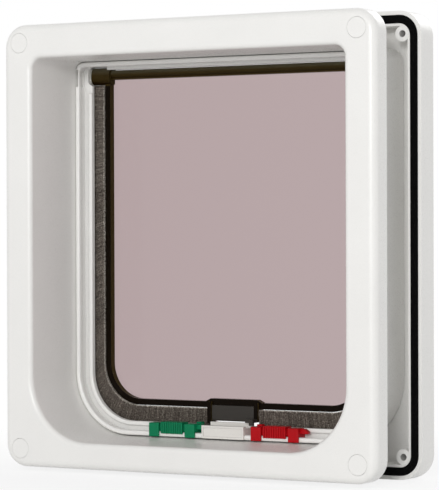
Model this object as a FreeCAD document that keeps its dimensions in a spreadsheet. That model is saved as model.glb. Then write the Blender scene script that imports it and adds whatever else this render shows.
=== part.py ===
import FreeCAD, Part
import Sketcher
import math
import os

os.makedirs("parts", exist_ok=True)
doc = FreeCAD.newDocument("CatFlap")

# Driving sizes in millimetres. Heights count from the middle of the screw pattern,
# depths count back from the indoor face, and sides count from the middle plane.
SIZES = [
    ("front_width", 238, "indoor flange, width"),
    ("front_height", 251, "indoor flange, height"),
    ("front_corner", 13, "indoor flange, corner radius"),
    ("front_depth", 13.3, "indoor flange, depth of the skirt"),
    ("front_face", 2.6, "indoor flange, thickness of the face"),
    ("front_skirt", 2.4, "indoor flange, thickness of the skirt"),
    ("front_round", 4.5, "indoor flange, rounding of the outer edge"),
    ("flange_side", 18.7, "indoor flange, band from its side to the tunnel mouth"),
    ("flange_top", 19.1, "indoor flange, band from its top to the tunnel mouth"),
    ("flange_bottom", 15, "indoor flange, band from its foot to the tunnel mouth"),
    ("mouth_corner", 36, "tunnel mouth, lower corner radius"),
    ("mouth_top_corner", 6.5, "tunnel mouth, upper corner radius"),
    ("mouth_round", 2.8, "tunnel mouth, rounding of the edge"),
    ("liner_wall", 1.6, "tunnel wall thickness"),
    ("liner_end_gap", 0.4, "gap from the tunnel's end to the outdoor plate"),
    ("draft_side", 0.5, "how far each tunnel side closes in towards its end"),
    ("draft_top", 0.1, "how far the tunnel ceiling closes in"),
    ("draft_bottom", 1.3, "how far the tunnel floor rises"),
    ("screw_side", 11, "from the flange side to the screws"),
    ("screw_end", 10.5, "from the flange top or foot to the screws"),
    ("screw_hole", 4.6, "clearance hole for the door screw"),
    ("screw_pocket", 9.2, "pocket for the screw's head"),
    ("screw_seat", 2.4, "thickness of the floor under the screw's head"),
    ("screw_boss_wall", 1.7, "wall of the tube round the screw pocket"),
    ("cap_diameter", 11.1, "screw cap, diameter"),
    ("cap_thickness", 1.8, "screw cap, thickness of the disc"),
    ("cap_plug", 4.2, "screw cap, length of the plug behind the disc"),
    ("cap_wall", 1.1, "screw cap, wall of the plug"),
    ("cap_gap", 0.1, "gap round the screw cap"),
    ("tie_rib", 1.6, "ribs that tie skirt and tunnel, thickness"),
    ("tie_rib_drop", 3.5, "how far these ribs stay below the skirt's rim"),
    ("tie_rib_span", 132, "distance from the first of these ribs to the last"),
    ("rear_over_side", 0.4, "how far the outdoor frame reaches past the indoor one at each side"),
    ("rear_over_end", 2, "how far it reaches past the indoor one at top and foot"),
    ("rear_corner", 13.5, "outdoor frame, corner radius"),
    ("rear_depth", 17.3, "outdoor frame, depth of its wall"),
    ("overall_depth", 71, "depth of the whole flap as it stands"),
    ("rear_plate", 2.5, "outdoor frame, thickness of the plate"),
    ("rear_wall", 2.2, "outdoor frame, thickness of the outer wall"),
    ("rear_round", 3.4, "outdoor frame, rounding of the back edge"),
    ("seal_width", 4.5, "foam seal, width"),
    ("seal_gap", 0.05, "gap on each side of the foam seal"),
    ("seal_height", 7.2, "foam seal, height"),
    ("seal_proud", 0.8, "how far the foam seal stands out of its channel"),
    ("seal_lip", 1.5, "wall inside the seal channel, thickness"),
    ("seal_rib", 1.4, "cross ribs that carry the foam seal, thickness"),
    ("seal_rib_span", 168, "distance from the first cross rib to the last"),
    ("boss_diameter", 8.6, "screw boss, diameter"),
    ("boss_hole", 3.8, "screw boss, pilot hole"),
    ("boss_hole_depth", 13, "screw boss, depth of the pilot hole"),
    ("collar_length", 24.5, "collar, length in front of the plate"),
    ("collar_gap", 0.35, "running gap between collar and tunnel wall"),
    ("collar_wall", 2.2, "collar wall thickness"),
    ("lip_thickness", 2.8, "bead along the collar's front edge, thickness"),
    ("lip_depth", 2.8, "bead along the collar's front edge, depth"),
    ("lip_round", 1.2, "rounding of this bead"),
    ("web_set", 7, "from the collar front to the web that stands in from it"),
    ("web_thickness", 2, "web thickness"),
    ("web_inset", 7.6, "how far the web stands in at the sides and the sill"),
    ("web_top_inset", 4.3, "how far the web stands in under the ceiling"),
    ("ridge_width", 2.6, "ridge along the web's inner edge, width"),
    ("ridge_proud", 1, "ridge, height above the web"),
    ("ridge_round", 0.8, "ridge, rounding"),
    ("ridge_drop", 10.3, "from the hinge axis down to the upper end of the ridge"),
    ("notch_rise", 3, "notch in the collar side, from the hinge axis up"),
    ("notch_drop", 6.8, "notch in the collar side, from the hinge axis down"),
    ("notch_cut", 2.2, "notch, cut into the side"),
    ("notch_depth", 5, "notch, depth along the tunnel"),
    ("passage_side_inset", 5.4, "outdoor opening, inset at the sides and the sill"),
    ("passage_top_inset", 3.3, "outdoor opening, inset at the top"),
    ("shoulder_set", 15.6, "from the collar front to the shoulder behind the brush"),
    ("shoulder_thickness", 1.6, "shoulder thickness"),
    ("shoulder_inset", 6.6, "how far the shoulder stands in"),
    ("axis_set", 13.5, "from the collar front to the hinge axis"),
    ("axis_drop", 7.15, "from the collar top down to the hinge axis"),
    ("flap_side", 13.45, "from the collar side to the flap"),
    ("flap_rise", 16.65, "from the collar underside up to the flap"),
    ("flap_corner", 24, "flap, lower corner radius"),
    ("flap_rim", 3.5, "flap, width of the raised rim"),
    ("rim_set", 11.6, "from the collar front to the flap rim"),
    ("panel_set", 15.6, "from the collar front to the flap panel"),
    ("panel_thickness", 2, "flap, panel thickness"),
    ("barrel_diameter", 5.6, "hinge barrel, diameter"),
    ("ear_width", 8.4, "hinge ear, width, and twice its height over the hinge axis"),
    ("ear_drop", 5.6, "from the hinge axis down to the ear's foot"),
    ("ear_round", 4, "hinge ear, corner rounding"),
    ("ear_cover", 4.3, "how far the hinge ear reaches over the flap edge inwards"),
    ("ear_length", 12.5, "hinge ear, length"),
    ("ear_window_gap", 0.6, "gap between the hinge ear and its window in the web"),
    ("pin_diameter", 3, "pivot pin, diameter"),
    ("pin_gap", 0.05, "running gap round the pivot pin"),
    ("pin_grip", 9, "length of the pivot pin inside the ear"),
    ("pin_end_gap", 0.4, "gap past the pivot pin's outer end"),
    ("clip_gap", 0.3, "gap between ear and pivot clip"),
    ("clip_width", 8, "pivot clip, width along the tunnel"),
    ("clip_drop", 5.6, "pivot clip, from the hinge axis down to its foot"),
    ("clip_top_gap", 1.2, "gap over the pivot clip"),
    ("clip_round", 2.5, "pivot clip, radius of the upper outer corner"),
    ("housing_width", 27.8, "magnet housing, width"),
    ("housing_height", 8.9, "magnet housing, height"),
    ("housing_rise", 9.35, "from the collar underside up to the magnet housing"),
    ("housing_set", 10.4, "from the collar front to the magnet housing"),
    ("housing_depth", 7.8, "magnet housing, depth"),
    ("housing_gap", 0.1, "gap round the magnet housing in the flap"),
    ("housing_round", 0.7, "magnet housing, rounding"),
    ("housing_floor", 1, "magnet housing, floor under the magnet"),
    ("step_half", 18.5, "rim above the housing, half width at its foot"),
    ("step_rise", 1.7, "rim above the housing, rise"),
    ("cheek_width", 2.5, "cheeks beside the housing, thickness"),
    ("cheek_rise", 7.85, "from the collar underside up to the left cheek and the hook's toe"),
    ("cheek_set", 10.1, "from the collar front to the cheeks"),
    ("hook_width", 5, "hook in front of the red catch, width"),
    ("hook_height", 2, "hook, height of its arm"),
    ("toe_thickness", 1.5, "hook, thickness of its toe"),
    ("toe_height", 1.5, "hook, height of its toe"),
    ("tongue_height", 3.5, "tongue in the magnet housing, height"),
    ("flap_magnet_width", 16, "flap magnet, width"),
    ("flap_magnet_depth", 4.4, "flap magnet, depth"),
    ("flap_magnet_height", 4.2, "flap magnet, height"),
    ("flap_magnet_inset", 2, "from the housing's front to the magnet"),
    ("magnet_gap", 0.1, "gap round each magnet"),
    ("brush_set", 10.6, "from the collar front to the brush pile"),
    ("brush_thickness", 4, "brush pile, thickness"),
    ("brush_gap", 0.4, "gap from the brush tips to the flap"),
    ("brush_drop", 6, "from the hinge axis down to the upper end of the brush"),
    ("brush_end", 16.8, "brush, end beside the magnet housing"),
    ("backing_thickness", 2.5, "brush backing, thickness"),
    ("backing_gap", 0.3, "gap between backing and collar wall"),
    ("backing_end", 23.2, "brush backing, end beside the keeper"),
    ("window_half", 21.9, "half width of the sill's gap in web and ridge"),
    ("keeper_width", 27.4, "keeper block, width"),
    ("keeper_proud", 1.3, "how far keeper and pads stand in front of the collar"),
    ("keeper_set", 11.2, "from the collar front to the back of the keeper block"),
    ("keeper_front_rise", 7.45, "keeper block, rise of the front lip over the collar underside"),
    ("keeper_back_rise", 8.85, "keeper block, rise of the back lip"),
    ("keeper_front_lip", 3, "keeper block, thickness of the front lip"),
    ("keeper_back_lip", 2.2, "keeper block, thickness of the back lip"),
    ("keeper_trough_rise", 6.45, "keeper block, rise of the trough floor"),
    ("keeper_apron_rise", 0.15, "keeper block, rise of the lower edge of the apron"),
    ("keeper_border", 1.2, "keeper block, border round the front panel"),
    ("keeper_relief", 0.4, "keeper block, depth of the front panel"),
    ("keeper_magnet_width", 20, "keeper magnet, width"),
    ("keeper_magnet_depth", 4.4, "keeper magnet, depth"),
    ("keeper_magnet_height", 2.6, "keeper magnet, height"),
    ("apron", 1, "apron in front of the bead, thickness"),
    ("slide_gap", 0.3, "running gap round the catches"),
    ("catch_reach", 18.3, "catch, inner end as it rests"),
    ("catch_travel", 4, "catch, travel"),
    ("pad_width", 6.6, "catch, width of each pad"),
    ("pad_rise", 7.75, "catch, rise of the pads over the collar underside"),
    ("pad_hang", 0.05, "catch, how far the pads hang below the collar underside"),
    ("pad_split", 1.5, "catch, gap between pad and grip"),
    ("pad_round", 0.5, "catch, rounding of the pads"),
    ("grip_width", 14.2, "catch, width of the grip"),
    ("grip_rise", 8.45, "catch, rise of the grip top"),
    ("grip_foot_rise", 1.85, "catch, rise of the grip foot"),
    ("grip_rib", 0.75, "catch, width of one grip rib"),
    ("grip_rib_depth", 0.5, "catch, depth of the grip ribs"),
    ("bar_rise", 7.25, "catch, rise of the bar"),
    ("bar_set", 0.5, "from the collar front to the bar of the catch"),
    ("tail_length", 4.5, "catch, length of the tail"),
    ("tail_rise", 7.45, "catch, rise of the tail top"),
    ("tail_foot_rise", 4.75, "catch, rise of the tail foot"),
    ("tail_set", 1.5, "from the collar front to the tail of the catch"),
    ("tail_thickness", 3, "catch, thickness of the tail"),
    ("nose_length", 3, "catch, length of the nose"),
    ("nose_root", 1, "catch, how deep the nose is rooted in the bar"),
    ("nose_rise", 8.65, "catch, rise of the nose"),
    ("nose_set", 9.8, "from the collar front to the back of the nose"),
    ("least_corner", 1, "smallest corner radius of an inset outline"),
]
GRIP_RIBS = 10
TIE_RIBS = 4
SEAL_RIBS = 5
SIDES = {"left": -1, "right": 1}
NEAR = 0.01

sheet = doc.addObject("Spreadsheet::Sheet", "Size")
for row, (alias, value, meaning) in enumerate(SIZES, 1):
    sheet.set(f"A{row}", meaning)
    sheet.set(f"B{row}", str(value))
    sheet.setAlias(f"B{row}", alias)
doc.recompute()


def number(expression):
    """Value of an expression over the sheet."""
    return float(sheet.evalExpression(str(expression)))


def minus(expression):
    return f"-({expression})"


# Sizes that follow from the driving ones, as expressions over the sheet.
half_front = "Size.front_width / 2"
half_front_height = "Size.front_height / 2"
half_rear = f"({half_front} + Size.rear_over_side)"
half_rear_height = f"({half_front_height} + Size.rear_over_end)"
half_mouth = f"({half_front} - Size.flange_side)"
mouth_top = f"({half_front_height} - Size.flange_top)"
mouth_bottom = f"({half_front_height} - Size.flange_bottom)"
screw_across = f"({half_front} - Size.screw_side)"
screw_up = f"({half_front_height} - Size.screw_end)"
plate_front = "(Size.overall_depth - Size.rear_plate)"
liner_end = f"({plate_front} - Size.liner_end_gap)"
rear_front = "(Size.overall_depth - Size.rear_depth)"
seal_channel = "(Size.seal_width + 2 * Size.seal_gap)"
trough_inset = f"(Size.rear_wall + {seal_channel} + Size.seal_lip)"

collar_front = f"({plate_front} - Size.collar_length)"
collar_half = f"({half_mouth} - Size.draft_side - Size.collar_gap)"
collar_top = f"({mouth_top} - Size.draft_top - Size.collar_gap)"
collar_bottom = f"({mouth_bottom} - Size.draft_bottom - Size.collar_gap)"
collar_corner = "(Size.mouth_corner - Size.draft_side - Size.collar_gap)"
collar_top_corner = "(Size.mouth_top_corner - Size.draft_side - Size.collar_gap)"
collar_inner = f"({collar_half} - Size.collar_wall)"
sill_floor = f"({collar_bottom} - Size.collar_wall)"
lip_floor = f"({collar_bottom} - Size.lip_thickness)"
web_front = f"({collar_front} + Size.web_set)"
web_back = f"({web_front} + Size.web_thickness)"
ridge_front = f"({web_front} - Size.ridge_proud)"
shoulder_front = f"({collar_front} + Size.shoulder_set)"

axis_depth = f"({collar_front} + Size.axis_set)"
axis_height = f"({collar_top} - Size.axis_drop)"
ridge_top = f"({axis_height} - Size.ridge_drop)"
notch_top = f"({axis_height} + Size.notch_rise)"
notch_bottom = f"({axis_height} - Size.notch_drop)"
brush_top = f"({axis_height} - Size.brush_drop)"
brush_front = f"({collar_front} + Size.brush_set)"

flap_half = f"({collar_half} - Size.flap_side)"
flap_bottom = f"({collar_bottom} - Size.flap_rise)"
rim_front = f"({collar_front} + Size.rim_set)"
panel_front = f"({collar_front} + Size.panel_set)"
panel_back = f"({panel_front} + Size.panel_thickness)"
ear_inner = f"({flap_half} - Size.ear_cover)"
ear_outer = f"({ear_inner} + Size.ear_length)"
housing_half = "(Size.housing_width / 2)"
housing_bottom = f"({collar_bottom} - Size.housing_rise)"
housing_top = f"({housing_bottom} - Size.housing_height)"
housing_front = f"({collar_front} + Size.housing_set)"
magnet_floor = f"({housing_bottom} - Size.housing_floor)"
cheek_inner = f"({housing_half} + Size.housing_gap)"
cheek_outer = f"({cheek_inner} + Size.cheek_width)"
cheek_bottom = f"({collar_bottom} - Size.cheek_rise)"
cheek_front = f"({collar_front} + Size.cheek_set)"
hook_bottom = f"({cheek_bottom} - Size.toe_height)"

keeper_half = "(Size.keeper_width / 2)"
keeper_front = f"({collar_front} - Size.keeper_proud)"
keeper_back = f"({collar_front} + Size.keeper_set)"
keeper_front_top = f"({collar_bottom} - Size.keeper_front_rise)"
keeper_back_top = f"({collar_bottom} - Size.keeper_back_rise)"
keeper_trough = f"({collar_bottom} - Size.keeper_trough_rise)"
keeper_drop = f"({collar_bottom} - Size.keeper_apron_rise)"

catch_length = "(2 * Size.pad_width + 2 * Size.pad_split + Size.grip_width)"
pad_top = f"({collar_bottom} - Size.pad_rise)"
pad_bottom = f"({collar_bottom} + Size.pad_hang)"
grip_top = f"({collar_bottom} - Size.grip_rise)"
grip_bottom = f"({collar_bottom} - Size.grip_foot_rise)"
bar_top = f"({collar_bottom} - Size.bar_rise)"
bar_front = f"({collar_front} + Size.bar_set)"
tail_top = f"({collar_bottom} - Size.tail_rise)"
tail_bottom = f"({collar_bottom} - Size.tail_foot_rise)"
tail_front = f"({collar_front} + Size.tail_set)"
nose_top = f"({collar_bottom} - Size.nose_rise)"
nose_back = f"({collar_front} + Size.nose_set)"


def plane_of(body, role):
    return next(item for item in body.Origin.OriginFeatures if item.Role == role)


def new_body(label):
    """A piece in the frame of the whole object: middle of the depth, foot at height zero."""
    body = doc.addObject("PartDesign::Body", label)
    body.Label = label
    body.setExpression("Placement.Base.y", "-Size.overall_depth / 2")
    body.setExpression("Placement.Base.z", half_rear_height)
    return body


def new_sketch(body, name, depth=None, side=None):
    """A sketch across the tunnel at a depth, or along it at a side."""
    sketch = body.newObject("Sketcher::SketchObject", name)
    role = "XZ_Plane" if side is None else "YZ_Plane"
    sketch.AttachmentSupport = (plane_of(body, role), [""])
    sketch.MapMode = "FlatFace"
    offset = minus(depth) if side is None else side
    sketch.setExpression("AttachmentOffset.Base.z", str(offset))
    return sketch


def bind(sketch, kind, arguments, expression):
    """A dimension of the sketch, driven by an expression."""
    index = sketch.addConstraint(Sketcher.Constraint(kind, *arguments, number(expression)))
    sketch.setExpression(f"Constraints[{index}]", str(expression))


def outline(sketch, corners):
    """A closed outline of straight edges. A corner is (across, up) or (across, up, radius)."""
    count = len(corners)
    points = [FreeCAD.Vector(number(c[0]), number(c[1]), 0) for c in corners]
    radii = [number(c[2]) if len(c) > 2 else 0 for c in corners]
    starts = []
    ends = []
    middles = []
    for i, point in enumerate(points):
        before = (points[i - 1] - point).normalize()
        after = (points[(i + 1) % count] - point).normalize()
        half_angle = before.getAngle(after) / 2
        reach = radii[i] / math.tan(half_angle)
        ends.append(point + before * reach)
        starts.append(point + after * reach)
        bisector = (before + after).normalize() if radii[i] else FreeCAD.Vector()
        middles.append(point + bisector * (radii[i] / math.sin(half_angle)))
    edges = []
    for i in range(count):
        edges.append(sketch.addGeometry(Part.LineSegment(starts[i], ends[(i + 1) % count]), False))
    for i, corner in enumerate(corners):
        previous = edges[i - 1]
        following = edges[i]
        if radii[i]:
            middle = middles[i]
            angles = [math.atan2(p.y - middle.y, p.x - middle.x) for p in (ends[i], starts[i])]
            turn = (angles[1] - angles[0]) % (2 * math.pi)
            anticlockwise = turn < math.pi
            first, last = angles if anticlockwise else angles[::-1]
            circle = Part.Circle(middle, FreeCAD.Vector(0, 0, 1), radii[i])
            arc = sketch.addGeometry(Part.ArcOfCircle(circle, first, last), False)
            near, far = (1, 2) if anticlockwise else (2, 1)
            sketch.addConstraint(Sketcher.Constraint("Tangent", previous, 2, arc, near))
            sketch.addConstraint(Sketcher.Constraint("Tangent", arc, far, following, 1))
            bind(sketch, "Radius", (arc,), corner[2])
        else:
            sketch.addConstraint(Sketcher.Constraint("Coincident", previous, 2, following, 1))
            bind(sketch, "DistanceX", (-1, 1, following, 1), corner[0])
            bind(sketch, "DistanceY", (-1, 1, following, 1), corner[1])
    for i, edge in enumerate(edges):
        following = (i + 1) % count
        if not (radii[i] or radii[following]):
            continue
        level = abs(points[i].y - points[following].y) < abs(points[i].x - points[following].x)
        sketch.addConstraint(Sketcher.Constraint("Horizontal" if level else "Vertical", edge))
        if radii[i] and radii[following]:
            kind = "DistanceY" if level else "DistanceX"
            bind(sketch, kind, (-1, 1, edge, 1), corners[i][1] if level else corners[i][0])


def round_box(sketch, half_width, top, bottom, top_radius, bottom_radius):
    """Outline of a frame: a box with upper and lower corner radii."""
    left = minus(half_width)
    low = minus(bottom)
    outline(sketch, [(left, low, bottom_radius), (half_width, low, bottom_radius),
                     (half_width, top, top_radius), (left, top, top_radius)])


def collar_box(sketch, inset, top_inset=None):
    """The collar's outline, moved in by an inset."""
    top_inset = inset if top_inset is None else top_inset
    round_box(sketch, f"{collar_half} - ({inset})", f"{collar_top} - ({top_inset})",
              f"{collar_bottom} - ({inset})", f"max({collar_top_corner} - ({inset}); Size.least_corner)",
              f"{collar_corner} - ({inset})")


def box(sketch, left, right, low, high):
    outline(sketch, [(left, low), (right, low), (right, high), (left, high)])


def circle(sketch, across, up, diameter):
    shape = Part.Circle(FreeCAD.Vector(number(across), number(up), 0),
                        FreeCAD.Vector(0, 0, 1), number(diameter) / 2)
    index = sketch.addGeometry(shape, False)
    bind(sketch, "DistanceX", (-1, 1, index, 3), across)
    bind(sketch, "DistanceY", (-1, 1, index, 3), up)
    bind(sketch, "Diameter", (index,), diameter)


def four_circles(sketch, diameter):
    """One circle at each screw."""
    for across in (minus(screw_across), screw_across):
        for up in (minus(screw_up), screw_up):
            circle(sketch, across, up, diameter)


def finish_feature(body, feature, grows):
    """Recompute, and stop unless the feature changed the piece as meant."""
    before = feature.BaseFeature.Shape.Volume if feature.BaseFeature else 0
    doc.recompute()
    change = feature.Shape.Volume - before
    if not feature.isValid() or (change <= 0 if grows else change >= 0):
        raise RuntimeError(f"{body.Label}: {feature.Label} changed the volume by {change:.3f}")
    return feature


def pad(body, sketch, length):
    """Material from the sketch: backwards from a depth, or rightwards from a side."""
    feature = body.newObject("PartDesign::Pad", f"{sketch.Label}_pad")
    feature.Profile = sketch
    feature.setExpression("Length", str(length))
    feature.Reversed = sketch.AttachmentSupport[0][0].Role == "XZ_Plane"
    sketch.Visibility = False
    return finish_feature(body, feature, True)


def pocket(body, sketch, length):
    """A cut from the sketch: backwards from a depth, or rightwards from a side."""
    feature = body.newObject("PartDesign::Pocket", f"{sketch.Label}_pocket")
    feature.Profile = sketch
    feature.setExpression("Length", str(length))
    feature.Reversed = sketch.AttachmentSupport[0][0].Role == "YZ_Plane"
    sketch.Visibility = False
    return finish_feature(body, feature, False)


def loft(body, kind, name, first, last):
    feature = body.newObject(f"PartDesign::{kind}", name)
    feature.Profile = first
    feature.Sections = [(last, [""])]
    feature.Ruled = True
    return finish_feature(body, feature, kind == "AdditiveLoft")


def row_of(body, feature, axis_role, length, count, name):
    """Repeat a feature along an axis of the piece."""
    pattern = body.newObject("PartDesign::LinearPattern", name)
    pattern.Originals = [feature]
    pattern.Direction = (plane_of(body, axis_role), [""])
    pattern.setExpression("Length", str(length))
    pattern.Occurrences = count
    body.Tip = pattern
    return finish_feature(body, pattern, True)


def flat_at(edge, axis, place):
    """True where the whole edge lies at one place along an axis."""
    low = getattr(edge.BoundBox, axis + "Min")
    high = getattr(edge.BoundBox, axis + "Max")
    return abs(low - place) < NEAR and abs(high - place) < NEAR


def fillet(body, name, radius, chosen):
    base = body.Tip
    names = [f"Edge{i}" for i, edge in enumerate(base.Shape.Edges, 1) if chosen(edge)]
    if not names:
        raise RuntimeError(f"{body.Label}: {name} found no edge")
    feature = body.newObject("PartDesign::Fillet", name)
    feature.Base = (base, names)
    feature.setExpression("Radius", str(radius))
    doc.recompute()
    if not feature.isValid():
        raise RuntimeError(f"{body.Label}: {name} failed")
    return feature


def interior_frame():
    """Indoor flange and its tunnel, one moulding."""
    body = new_body("interior_frame")
    face = new_sketch(body, "flange", "0")
    round_box(face, half_front, half_front_height, half_front_height,
              "Size.front_corner", "Size.front_corner")
    pad(body, face, "Size.front_depth")
    fillet(body, "flange_round", "Size.front_round", lambda edge: flat_at(edge, "Y", 0))

    hollow = new_sketch(body, "hollow", "Size.front_face")
    inner_corner = "Size.front_corner - Size.front_skirt"
    round_box(hollow, f"{half_front} - Size.front_skirt", f"{half_front_height} - Size.front_skirt",
              f"{half_front_height} - Size.front_skirt", inner_corner, inner_corner)
    pocket(body, hollow, "Size.front_depth - Size.front_face")

    tunnel_start = new_sketch(body, "tunnel_start", "Size.front_face / 2")
    tunnel_end = new_sketch(body, "tunnel_end", liner_end)
    round_box(tunnel_start, f"{half_mouth} + Size.liner_wall", f"{mouth_top} + Size.liner_wall",
              f"{mouth_bottom} + Size.liner_wall", "Size.mouth_top_corner + Size.liner_wall",
              "Size.mouth_corner + Size.liner_wall")
    tunnel_profile(tunnel_end, "Size.liner_wall")
    loft(body, "AdditiveLoft", "tunnel", tunnel_start, tunnel_end)

    tubes = new_sketch(body, "screw_tubes", "Size.front_face / 2")
    four_circles(tubes, "Size.screw_pocket + 2 * Size.screw_boss_wall")
    pad(body, tubes, "Size.front_depth - Size.front_face / 2")
    tie_ribs(body)

    mouth = new_sketch(body, "mouth", "0")
    mouth_end = new_sketch(body, "mouth_end", liner_end)
    round_box(mouth, half_mouth, mouth_top, mouth_bottom,
              "Size.mouth_top_corner", "Size.mouth_corner")
    tunnel_profile(mouth_end, "0")
    loft(body, "SubtractiveLoft", "tunnel_bore", mouth, mouth_end)
    across = number(f"{half_mouth} + Size.mouth_round")
    above = number(f"{mouth_top} + Size.mouth_round")
    below = number(f"-({mouth_bottom} + Size.mouth_round)")
    fillet(body, "mouth_round", "Size.mouth_round",
           lambda edge: flat_at(edge, "Y", 0) and abs(edge.CenterOfMass.x) < across
           and below < edge.CenterOfMass.z < above)

    cap_seat = new_sketch(body, "cap_seat", "0")
    four_circles(cap_seat, "Size.cap_diameter + 2 * Size.cap_gap")
    pocket(body, cap_seat, "Size.cap_thickness")
    head_pocket = new_sketch(body, "head_pocket", "0")
    four_circles(head_pocket, "Size.screw_pocket")
    pocket(body, head_pocket, "Size.front_depth - Size.screw_seat")
    screw_hole = new_sketch(body, "screw_hole", "0")
    four_circles(screw_hole, "Size.screw_hole")
    pocket(body, screw_hole, "Size.front_depth")


def tunnel_profile(sketch, grow):
    """The tunnel's outline at its outdoor end."""
    round_box(sketch, f"{half_mouth} - Size.draft_side + {grow}", f"{mouth_top} - Size.draft_top + {grow}",
              f"{mouth_bottom} - Size.draft_bottom + {grow}",
              f"Size.mouth_top_corner - Size.draft_side + {grow}",
              f"Size.mouth_corner - Size.draft_side + {grow}")


def tie_ribs(body):
    """Ribs across the back of the flange, in a row along each side and along top and bottom."""
    rib_end = "Size.front_depth - Size.tie_rib_drop - Size.front_face / 2"
    from_wall = f"{half_mouth} + Size.liner_wall / 2"
    to_skirt = f"{half_front} - Size.front_skirt / 2"
    first = "-Size.tie_rib_span / 2"
    sides = new_sketch(body, "side_rib", "Size.front_face / 2")
    box(sides, from_wall, to_skirt, f"{first} - Size.tie_rib / 2", f"{first} + Size.tie_rib / 2")
    box(sides, minus(to_skirt), minus(from_wall), f"{first} - Size.tie_rib / 2",
        f"{first} + Size.tie_rib / 2")
    row_of(body, pad(body, sides, rib_end), "Z_Axis", "Size.tie_rib_span", TIE_RIBS, "side_ribs")
    level = new_sketch(body, "level_rib", "Size.front_face / 2")
    above = (f"{mouth_top} + Size.liner_wall / 2", f"{half_front_height} - Size.front_skirt / 2")
    below = (minus(above[1]), f"-({mouth_bottom} + Size.liner_wall / 2)")
    for low, high in (above, below):
        box(level, f"{first} - Size.tie_rib / 2", f"{first} + Size.tie_rib / 2", low, high)
    row_of(body, pad(body, level, rib_end), "X_Axis", "Size.tie_rib_span", TIE_RIBS, "level_ribs")


def screw_caps():
    """Four flush caps with a hollow plug, one at each screw."""
    for height, up in (("top", 1), ("bottom", -1)):
        for side, across in SIDES.items():
            body = new_body(f"screw_cap_{height}_{side}")
            place = (f"{across} * {screw_across}", f"{up} * {screw_up}")
            disc = new_sketch(body, "disc", "0")
            circle(disc, *place, "Size.cap_diameter")
            pad(body, disc, "Size.cap_thickness")
            plug = new_sketch(body, "plug", "Size.cap_thickness")
            circle(plug, *place, "Size.screw_pocket - 2 * Size.cap_gap")
            circle(plug, *place, "Size.screw_pocket - 2 * Size.cap_gap - 2 * Size.cap_wall")
            pad(body, plug, "Size.cap_plug")


def exterior_frame():
    """Outdoor frame: plate, wall with its seal channel, screw bosses and the collar."""
    body = new_body("exterior_frame")
    block = new_sketch(body, "block", rear_front)
    rear_box(block, "0")
    pad(body, block, f"Size.overall_depth - {rear_front}")
    fillet(body, "back_round", "Size.rear_round",
           lambda edge: flat_at(edge, "Y", number("Size.overall_depth")))

    depth_to_plate = f"{plate_front} - {rear_front}"
    inside = new_sketch(body, "inside", rear_front)
    rear_box(inside, trough_inset)
    pocket(body, inside, depth_to_plate)
    channel = new_sketch(body, "channel", rear_front)
    rear_box(channel, "Size.rear_wall")
    rear_box(channel, f"Size.rear_wall + {seal_channel}")
    pocket(body, channel, depth_to_plate)
    seal_ribs(body)

    bosses = new_sketch(body, "bosses", rear_front)
    four_circles(bosses, "Size.boss_diameter")
    pad(body, bosses, depth_to_plate)

    collar = new_sketch(body, "collar", collar_front)
    collar_box(collar, "0")
    collar_box(collar, "Size.collar_wall")
    pad(body, collar, f"{plate_front} - {collar_front}")
    lip = new_sketch(body, "lip", collar_front)
    collar_box(lip, "Size.collar_wall / 2")
    collar_box(lip, "Size.lip_thickness")
    pad(body, lip, "Size.lip_depth")
    lip_place = number(collar_front)
    fillet(body, "lip_round", "Size.lip_round", lambda edge: flat_at(edge, "Y", lip_place))
    web = new_sketch(body, "web", web_front)
    collar_box(web, "Size.collar_wall / 2")
    collar_box(web, "Size.web_inset", "Size.web_top_inset")
    pad(body, web, "Size.web_thickness")
    ridge_and_shoulder(body)

    passage = new_sketch(body, "passage", plate_front)
    collar_box(passage, "Size.passage_side_inset", "Size.passage_top_inset")
    pocket(body, passage, "Size.rear_plate")
    pilot = new_sketch(body, "pilot_holes", rear_front)
    four_circles(pilot, "Size.boss_hole")
    pocket(body, pilot, "Size.boss_hole_depth")
    collar_cuts(body)


def rear_box(sketch, inset):
    """The outdoor frame's outline, moved in by an inset."""
    corner = f"max(Size.rear_corner - ({inset}); Size.least_corner)"
    round_box(sketch, f"{half_rear} - ({inset})", f"{half_rear_height} - ({inset})",
              f"{half_rear_height} - ({inset})", corner, corner)


def seal_ribs(body):
    """Cross ribs in the seal channel, which carry the foam at its own height."""
    rib_start = f"{rear_front} - Size.seal_proud + Size.seal_height"
    rib_length = f"{plate_front} - ({rib_start})"
    first = "-Size.seal_rib_span / 2"
    near = f"{half_rear} - Size.rear_wall - {seal_channel} - Size.seal_lip / 2"
    far = f"{half_rear} - Size.rear_wall / 2"
    sides = new_sketch(body, "side_rib", rib_start)
    box(sides, near, far, f"{first} - Size.seal_rib / 2", f"{first} + Size.seal_rib / 2")
    box(sides, minus(far), minus(near), f"{first} - Size.seal_rib / 2", f"{first} + Size.seal_rib / 2")
    row_of(body, pad(body, sides, rib_length), "Z_Axis", "Size.seal_rib_span", SEAL_RIBS, "side_ribs")
    near = f"{half_rear_height} - Size.rear_wall - {seal_channel} - Size.seal_lip / 2"
    far = f"{half_rear_height} - Size.rear_wall / 2"
    level = new_sketch(body, "level_rib", rib_start)
    box(level, f"{first} - Size.seal_rib / 2", f"{first} + Size.seal_rib / 2", near, far)
    box(level, f"{first} - Size.seal_rib / 2", f"{first} + Size.seal_rib / 2", minus(far), minus(near))
    row_of(body, pad(body, level, rib_length), "X_Axis", "Size.seal_rib_span", SEAL_RIBS, "level_ribs")


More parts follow.
